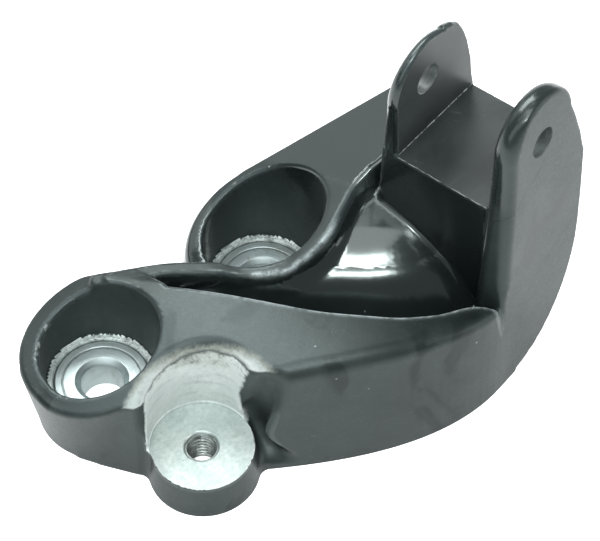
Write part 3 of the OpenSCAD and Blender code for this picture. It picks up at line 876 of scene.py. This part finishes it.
def make_ramp():
    """Milled cast aluminium on the sweep and the ear's face."""
    n = NT("milled_alloy")
    col, rough, grain = alloy(n)
    ed, er = ear_distance(n)
    x, y, z = n.sep(n.tc)[:3]
    rings = n.math("SINE", n.math("MULTIPLY", n.math("ADD", er, n.math("MULTIPLY", z, 0.4)), 2 * math.pi / 0.00028))
    sc = n.noise(n.mapping(n.tc, (300, 300, 2400)), 1.0, 3, 0.6)
    col = n.mix(n.ramp(sc, 0.45, 0.75, 0.0, 0.35), col, lin(168, 178, 176))
    col = n.mix(1.0, col, (0.74, 0.76, 0.75, 1.0), blend="MULTIPLY")
    # thin rests of the coat near the top of the sweep
    na = n.noise(n.tc, 380, 6, 0.72)
    up = n.ramp(z, 0.024, 0.036)
    rest = n.math("MULTIPLY", n.ramp(n.math("ADD", na, n.math("MULTIPLY", up, 0.12)), 0.66, 0.72), 0.55)
    col = n.mix(rest, col, lin(96, 106, 105))
    pit = n.voronoi(n.tc, 800)
    pits = n.math("MULTIPLY", n.math("GREATER_THAN", n.sep(pit.outputs["Color"])[1], 0.93), n.ramp(pit.outputs["Distance"], 0.08, 0.2, 1.0, 0.0))
    col = n.mix(n.math("MULTIPLY", pits, 0.6), col, lin(90, 98, 97))
    bn = n.bevel(0.0003, 4)
    h = n.math("ADD", n.math("MULTIPLY", rings, 0.20), n.math("ADD", grain, n.math("MULTIPLY", pits, -0.8)))
    n.set(Base_Color=col, Roughness=n.math("ADD", rough, 0.06), Metallic=0.60, Normal=n.bump(h, 0.25, 0.00008, bn))
    return n.m

def make_base():
    """The machined mounting face under the casting."""
    n = NT("mounting_face")
    col, rough, grain = alloy(n)
    x, y, z = n.sep(n.tc)[:3]
    vec = n.mapping(n.tc, (1, 1, 1), (0, 0, 0.35))
    feed = n.noise(n.mapping(vec, (40, 3200, 1)), 1.0, 3, 0.6)
    stain = n.noise(n.tc, 45, 5, 0.6, 0.5)
    col = n.mix(n.ramp(stain, 0.42, 0.68, 0.0, 0.6), col, lin(120, 124, 118))
    h = n.math("ADD", n.math("MULTIPLY", feed, 0.9), n.math("MULTIPLY", grain, 0.4))
    n.set(Base_Color=col, Roughness=n.ramp(feed, 0.3, 0.7, 0.34, 0.55), Metallic=0.9, Normal=n.bump(h, 0.4, 0.0001, n.bevel(0.0004, 4)))
    return n.m

def make_machined_black(name, lay, rough0):
    """Coated over a milled face: cutter marks show through the black."""
    n = NT(name)
    cloud = n.noise(n.tc, 70, 5, 0.6, 0.4)
    fine = n.noise(n.tc, 1500, 3, 0.6)
    vec = n.mapping(n.tc, (1, 1, 1), (0, 0, -TURN))
    mark = n.noise(n.mapping(vec, lay), 1.0, 3, 0.6)
    col = n.mix(n.ramp(cloud, 0.3, 0.7), (0.020, 0.025, 0.025), (0.034, 0.041, 0.041))
    col = n.mix(n.ramp(mark, 0.5, 0.8, 0.0, 0.4), col, (0.052, 0.061, 0.061))
    sc = n.noise(n.mapping(n.mapping(n.tc, (1, 1, 1), (0.1, 0.2, 0.9)), (50, 1500, 1500)), 1.0, 2, 0.5)
    scr = n.math("MULTIPLY", n.ramp(sc, 0.68, 0.75), n.ramp(n.noise(n.tc, 70, 2, 0.5), 0.45, 0.6))
    col = n.mix(n.math("MULTIPLY", scr, 0.5), col, (0.11, 0.125, 0.125))
    bn = n.bevel(0.0004, 5)
    edge = n.math("SUBTRACT", 1.0, n.vmath("DOT_PRODUCT", bn, n.geo.outputs["Normal"]))
    chip = n.noise(n.tc, 650, 4, 0.65)
    chip2 = n.noise(n.tc, 150, 3, 0.6)
    wear = n.math("MULTIPLY", n.ramp(edge, 0.02, 0.10), n.ramp(n.math("ADD", chip, n.math("MULTIPLY", chip2, 0.7)), 0.74, 0.92))
    acol, arough, agrain = alloy(n)
    col = n.mix(wear, col, acol)
    rough = n.fmix(wear, n.ramp(cloud, 0.3, 0.7, rough0 - 0.05, rough0 + 0.06), arough)
    h = n.math("ADD", n.math("MULTIPLY", mark, 0.5), n.math("MULTIPLY", fine, 0.35))
    n.set(Base_Color=col, Roughness=rough, Metallic=wear, Normal=n.bump(h, 0.25, 0.0001, bn))
    n.put(n.bsdf.inputs["Specular IOR Level"], 0.6)
    return n.m

def make_rim():
    """Rough bright ring of bare casting round each sleeve flange, with painted shade darkening it down into the gap."""
    n = NT("seat_rim_alloy")
    col, rough, grain = alloy(n)
    x, y, z = n.sep(n.tc)[:3]
    # painted shade: colour and metallic fall towards the bottom of the gap round the flange
    gap_shade = n.ramp(z, 0.0088, 0.0101, 0.8, 0.0)
    blot = n.noise(n.tc, 420, 5, 0.7)
    col = n.mix(n.ramp(blot, 0.42, 0.66, 0.0, 0.75), col, lin(104, 114, 112))
    spot = n.noise(n.tc, 1700, 3, 0.7)
    col = n.mix(n.ramp(spot, 0.52, 0.68, 0.0, 0.6), col, lin(66, 74, 73))
    col = n.mix(gap_shade, col, lin(26, 30, 30))
    n.set(Base_Color=col, Roughness=n.math("ADD", rough, 0.1), Metallic=n.fmix(gap_shade, 0.75, 0.2),
          Normal=n.bump(n.math("ADD", grain, blot), 0.6, 0.00025, n.bevel(0.0003, 4)))
    return n.m

def make_bore():
    n = NT("bored_alloy")
    col, rough, grain = alloy(n)
    line = n.noise(n.mapping(n.tc, (120, 120, 5200)), 1.0, 3, 0.6)
    col = n.mix(n.ramp(line, 0.4, 0.7, 0.1, 0.7), col, lin(120, 128, 127))
    n.set(Base_Color=col, Roughness=0.4, Metallic=0.9, Normal=n.bump(line, 0.3, 0.0001, n.bevel(0.0003, 4)))
    return n.m

def make_pin_bore():
    n = NT("pin_bore_coat")
    line = n.noise(n.mapping(n.mapping(n.tc, (1, 1, 1), (0, 0, -TURN)), (300, 5200, 300)), 1.0, 3, 0.6)
    col = n.mix(n.ramp(line, 0.35, 0.7), (0.05, 0.058, 0.058), (0.11, 0.125, 0.125))
    n.set(Base_Color=col, Roughness=0.36, Normal=n.bump(line, 0.25, 0.0001, n.bevel(0.0004, 5)))
    n.put(n.bsdf.inputs["Specular IOR Level"], 0.6)
    return n.m

def make_steel(name, centre):
    """Zinc-bright steel turned on a lathe, with the mark a washer has worn into it."""
    n = NT(name)
    cx, cy = float(centre[0]) / 1000, float(centre[1]) / 1000
    x, y, z = n.sep(n.tc)[:3]
    dx = n.math("SUBTRACT", x, cx)
    dy = n.math("SUBTRACT", y, cy)
    r = n.math("SQRT", n.math("ADD", n.math("MULTIPLY", dx, dx), n.math("MULTIPLY", dy, dy)))
    ang = n.math("ARCTAN2", dy, dx)
    up = n.ramp(z, 0.00990, 0.00997)
    ringn = n.noise(n.comb(n.math("MULTIPLY", r, 5200.0), n.math("MULTIPLY", ang, 0.35), 0.0), 1.0, 3, 0.7)
    fine = n.noise(n.comb(n.math("MULTIPLY", r, 14000.0), n.math("MULTIPLY", ang, 1.2), 3.0), 1.0, 2, 0.6)
    cloud = n.noise(n.tc, 190, 5, 0.65, 0.4)
    col = n.mix(n.ramp(ringn, 0.32, 0.68), lin(188, 203, 204), lin(216, 228, 228))
    col = n.mix(n.ramp(cloud, 0.48, 0.72, 0.0, 0.5), col, lin(150, 160, 157))
    # ring worn by a washer and a darker band outside it
    rw = n.math("ADD", r, n.math("MULTIPLY", n.math("SUBTRACT", n.noise(n.tc, 300, 3, 0.6), 0.5), 0.0005))
    worn = n.math("MULTIPLY", n.ramp(rw, 0.0096, 0.0100), n.ramp(rw, 0.0101, 0.0105, 1.0, 0.0))
    band = n.ramp(rw, 0.0100, 0.0104)
    col = n.mix(n.math("MULTIPLY", band, 0.45), col, lin(148, 158, 156))
    col = n.mix(n.math("MULTIPLY", worn, 0.75), col, lin(122, 132, 130))
    tarn = n.math("MULTIPLY", n.ramp(n.noise(n.tc, 130, 5, 0.7, 0.8), 0.55, 0.72), 0.55)
    col = n.mix(tarn, col, lin(132, 134, 122))
    spot = n.voronoi(n.tc, 900)
    sp = n.math("MULTIPLY", n.math("GREATER_THAN", n.sep(spot.outputs["Color"])[0], 0.94), n.ramp(spot.outputs["Distance"], 0.08, 0.2, 1.0, 0.0))
    col = n.mix(n.math("MULTIPLY", sp, 0.5), col, lin(84, 90, 88))
    # painted shade: the bore wall below the chamfer is darkened
    wall = n.ramp(r, 0.0056, 0.0060, 1.0, 0.0)
    wall = n.math("MULTIPLY", wall, n.ramp(z, 0.0084, 0.0088, 1.0, 0.0))
    col = n.mix(n.math("MULTIPLY", wall, 0.55), col, lin(120, 130, 128))
    rough = n.math("ADD", n.ramp(ringn, 0.3, 0.7, 0.34, 0.5), n.math("MULTIPLY", tarn, 0.2))
    h = n.math("ADD", n.math("MULTIPLY", n.math("ADD", ringn, n.math("MULTIPLY", fine, 0.5)), up), n.math("MULTIPLY", cloud, 0.4))
    h = n.math("SUBTRACT", h, n.math("MULTIPLY", worn, 0.7))
    n.set(Base_Color=col, Roughness=rough, Metallic=0.92, Anisotropic=0.35, Normal=n.bump(h, 0.35, 0.00012, n.bevel(0.0002, 4)))
    return n.m

def make_insert():
    n = NT("thread_insert_steel")
    cloud = n.noise(n.tc, 500, 4, 0.65)
    col = n.mix(n.ramp(cloud, 0.35, 0.7), lin(112, 118, 116), lin(168, 176, 172))
    grime = n.ramp(n.noise(n.tc, 240, 5, 0.7), 0.5, 0.7, 0.0, 0.7)
    col = n.mix(grime, col, lin(58, 56, 50))
    n.set(Base_Color=col, Roughness=n.ramp(cloud, 0.3, 0.7, 0.28, 0.45), Metallic=0.9, Normal=n.bump(cloud, 0.2, 0.0001))
    return n.m

M_COAT = make_coat()
M_RAMP = make_ramp()
M_BASE = make_base()
M_LEDGE = make_machined_black("ledge_coat", (60, 1500, 1), 0.32)
M_SLOT = make_machined_black("slot_coat", (60, 60, 1300), 0.46)
M_RIM = make_rim()
M_BORE = make_bore()
M_PIN = make_pin_bore()
slots = [M_COAT, M_RAMP, M_BASE, M_LEDGE, M_SLOT, M_RIM, M_BORE, M_PIN]
casting.data.materials.clear()
for m in slots:
    casting.data.materials.append(m)
lut = {0: 0, 1: 1, 2: 1, 3: 2, 4: 3, 5: 4, 6: 5, 7: 6, 8: 7}
mi = np.array([lut[int(k)] for k in kind], np.int32)
casting.data.polygons.foreach_set("material_index", mi)
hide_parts("bracket_casting")
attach(casting, "root")

# ----------------------------------------------------------------------------------------------------------------
# Seat sleeves, turned, with their small edge radii and the groove a washer has worn
# ----------------------------------------------------------------------------------------------------------------
def fillet_profile(pts, n=5):
    """Rounds the corners of a closed (r, z) profile; each point is (r, z, radius)."""
    out = []
    m = len(pts)
    for i in range(m):
        p = np.array(pts[i][:2], float)
        rad = pts[i][2]
        if rad <= 0:
            out.append(tuple(p))
            continue
        a = np.array(pts[i - 1][:2], float) - p
        b = np.array(pts[(i + 1) % m][:2], float) - p
        la, lb = np.linalg.norm(a), np.linalg.norm(b)
        a, b = a / la, b / lb
        k = math.acos(max(-1, min(1, float(a @ b))))
        d = min(rad / math.tan(k / 2), 0.49 * la, 0.49 * lb)
        r = d * math.tan(k / 2)
        c = p + (a + b) / np.linalg.norm(a + b) * (r / math.sin(k / 2))
        v0, v1 = p + a * d - c, p + b * d - c
        a0, a1 = math.atan2(v0[1], v0[0]), math.atan2(v1[1], v1[0])
        da = (a1 - a0 + math.pi) % (2 * math.pi) - math.pi
        for j in range(n + 1):
            t = a0 + da * j / n
            out.append((c[0] + r * math.cos(t), c[1] + r * math.sin(t)))
    return out

def sleeve(name, lo, hi, c, mat, node):
    fr = float(hi[0] - lo[0]) / 2
    z0, z1 = float(lo[2]), float(hi[2])
    bore = 5.5
    prof = [(bore, z0 + 0.5, 0.15), (bore + 0.5, z0, 0.12), (7.6, z0, 0.12), (7.98, z0 + 0.4, 0.12), (7.98, z1 - 2.42, 0.1),
            (fr, z1 - 2.4, 0.15), (fr, z1 - 0.28, 0.12), (fr - 0.28, z1, 0.12),
            (10.35, z1, 0.08), (10.25, z1 - 0.07, 0.05), (9.95, z1 - 0.08, 0.05), (9.85, z1 - 0.015, 0.08),
            (bore + 1.42, z1 - 0.015, 0.15), (bore, z1 - 1.42, 0.2)]
    ob = revolve(name, fillet_profile(prof, 4), c, 144)
    for p in ob.data.polygons:
        p.use_smooth = True
    ob.data.set_sharp_from_angle(angle=math.radians(38))
    ob.data.materials.append(mat)
    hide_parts(node)
    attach(ob, "root")
    return ob

sleeve("front_sleeve_turned", f_lo, f_hi, L, make_steel("turned_steel_front", L), "front_seat_sleeve")
sleeve("rear_sleeve_turned", r_lo, r_hi, R, make_steel("turned_steel_rear", R), "rear_seat_sleeve")

# ----------------------------------------------------------------------------------------------------------------
# Thread insert: the M8 x 1.25 thread is a true helical groove on its inner wall
# ----------------------------------------------------------------------------------------------------------------
def thread_insert():
    z0, z1 = float(i_lo[2]), float(i_hi[2])
    ro, rmin, rmaj, pitch = INS_R, 3.40, 4.02, 1.25
    na, nz = 96, int(round((z1 - z0) / (pitch / 14)))
    P, F = [], []
    for k in range(nz + 1):
        z = z0 + (z1 - z0) * k / nz
        for i in range(na):
            a = 2 * math.pi * i / na
            t = ((z - z0) / pitch - i / na) % 1.0
            g = max(0.0, 1.0 - abs(t - 0.5) / 0.40)
            ease = min(1.0, (z1 - z) / 0.7, (z - z0) / 0.7 + 0.2)
            r = rmin + (rmaj - rmin) * min(1.0, g * 1.15) * max(ease, 0.0)
            r = max(r, rmin + 0.35 * max(0.0, 1 - (z1 - z) / 0.35))
            P.append((E[0] + r * math.cos(a), E[1] + r * math.sin(a), z))
    base = len(P)
    for zz in (z0, z1):
        for i in range(na):
            a = 2 * math.pi * i / na
            P.append((E[0] + ro * math.cos(a), E[1] + ro * math.sin(a), zz))
    for k in range(nz):
        for i in range(na):
            j = (i + 1) % na
            F.append([k * na + i, (k + 1) * na + i, (k + 1) * na + j, k * na + j])
    for i in range(na):
        j = (i + 1) % na
        F.append([base + i, base + j, base + na + j, base + na + i])
        F.append([i, j, base + j, base + i])
        F.append([nz * na + i, base + na + i, base + na + j, nz * na + j])
    ob = new_obj("ear_insert_threaded", P, F)
    fix_normals(ob)
    for p in ob.data.polygons:
        p.use_smooth = True
    ob.data.set_sharp_from_angle(angle=math.radians(40))
    ob.data.materials.append(make_insert())
    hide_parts("ear_thread_insert")
    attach(ob, "root")
    return ob

thread_insert()

# ----------------------------------------------------------------------------------------------------------------
# Camera, floor and light
# ----------------------------------------------------------------------------------------------------------------
cam_d = bpy.data.cameras.new("camera")
cam_d.lens = 120
cam_d.sensor_width = 36
cam_d.sensor_fit = "HORIZONTAL"
cam_d.clip_start, cam_d.clip_end = 0.01, 20
cam = bpy.data.objects.new("camera", cam_d)
bpy.context.scene.collection.objects.link(cam)
FWD = Vector((0.3986, 0.4835, -0.7793)).normalized()
cam.location = (-0.1755, -0.2601, 0.4218)
cam.rotation_mode = "QUATERNION"
cam.rotation_quaternion = FWD.to_track_quat("-Z", "Y")
bpy.context.scene.camera = cam

fl = new_obj("floor", [(-4000, -4000, -0.05), (4000, -4000, -0.05), (4000, 4000, -0.05), (-4000, 4000, -0.05)], [[0, 1, 2, 3]])
fm = NT("pale_floor")
fcl = fm.noise(fm.tc, 3.0, 3, 0.5)
fm.set(Base_Color=fm.mix(fcl, (0.86, 0.87, 0.87), (0.89, 0.895, 0.895)), Roughness=0.75)
fm.put(fm.bsdf.inputs["Specular IOR Level"], 0.15)
fm.put(fm.bsdf.inputs["Emission Color"], (1.0, 1.0, 1.0))
lp = fm.t.nodes.new("ShaderNodeLightPath")
fm.put(fm.bsdf.inputs["Emission Strength"], fm.ramp(lp.outputs["Is Camera Ray"], 0.0, 1.0, 0.36, 0.70, "LINEAR"))
fl.data.materials.append(fm.m)

world = bpy.data.worlds.new("studio")
bpy.context.scene.world = world
world.use_nodes = True
bg = world.node_tree.nodes["Background"]
bg.inputs[0].default_value = (0.93, 0.985, 1.0, 1.0)
bg.inputs[1].default_value = 0.42

AIM = Vector((0.025, -0.02, 0.03))
def softbox(name, direction, dist, sx, sy, power, col=(1, 1, 1), spread=math.pi):
    d = Vector(direction).normalized()
    ld = bpy.data.lights.new(name, "AREA")
    ld.shape = "RECTANGLE"
    ld.size, ld.size_y = sx, sy
    ld.energy = power
    ld.color = col
    ld.spread = spread
    ob = bpy.data.objects.new(name, ld)
    ob.location = AIM + d * dist
    ob.rotation_mode = "QUATERNION"
    ob.rotation_quaternion = (-d).to_track_quat("-Z", "Y")
    bpy.context.scene.collection.objects.link(ob)
    return ob

softbox("key_back", (0.12, 0.62, 0.77), 1.2, 0.75, 0.55, 12.0, (0.97, 1.0, 1.0))
softbox("top", (-0.25, -0.1, 1.0), 1.3, 0.9, 0.9, 10.0, (0.98, 1.0, 1.0))
softbox("left", (-1.0, -0.35, 0.75), 1.3, 0.8, 0.8, 3.0, (0.96, 1.0, 1.0))
softbox("front", (0.75, -0.85, 0.42), 1.4, 0.9, 0.7, 4.5, (1.0, 1.0, 0.99))

softbox("back_low", (-0.12, 0.9, 0.42), 1.4, 1.0, 0.5, 1.8, (0.96, 1.0, 1.0))
softbox("glint", (-0.22, -0.42, 0.88), 1.1, 0.26, 0.14, 4.0, (0.96, 1.0, 1.0))

vs = bpy.context.scene.view_settings
vs.view_transform = "Standard"
vs.look = "None"
vs.exposure = 0.0
vs.gamma = 1.0
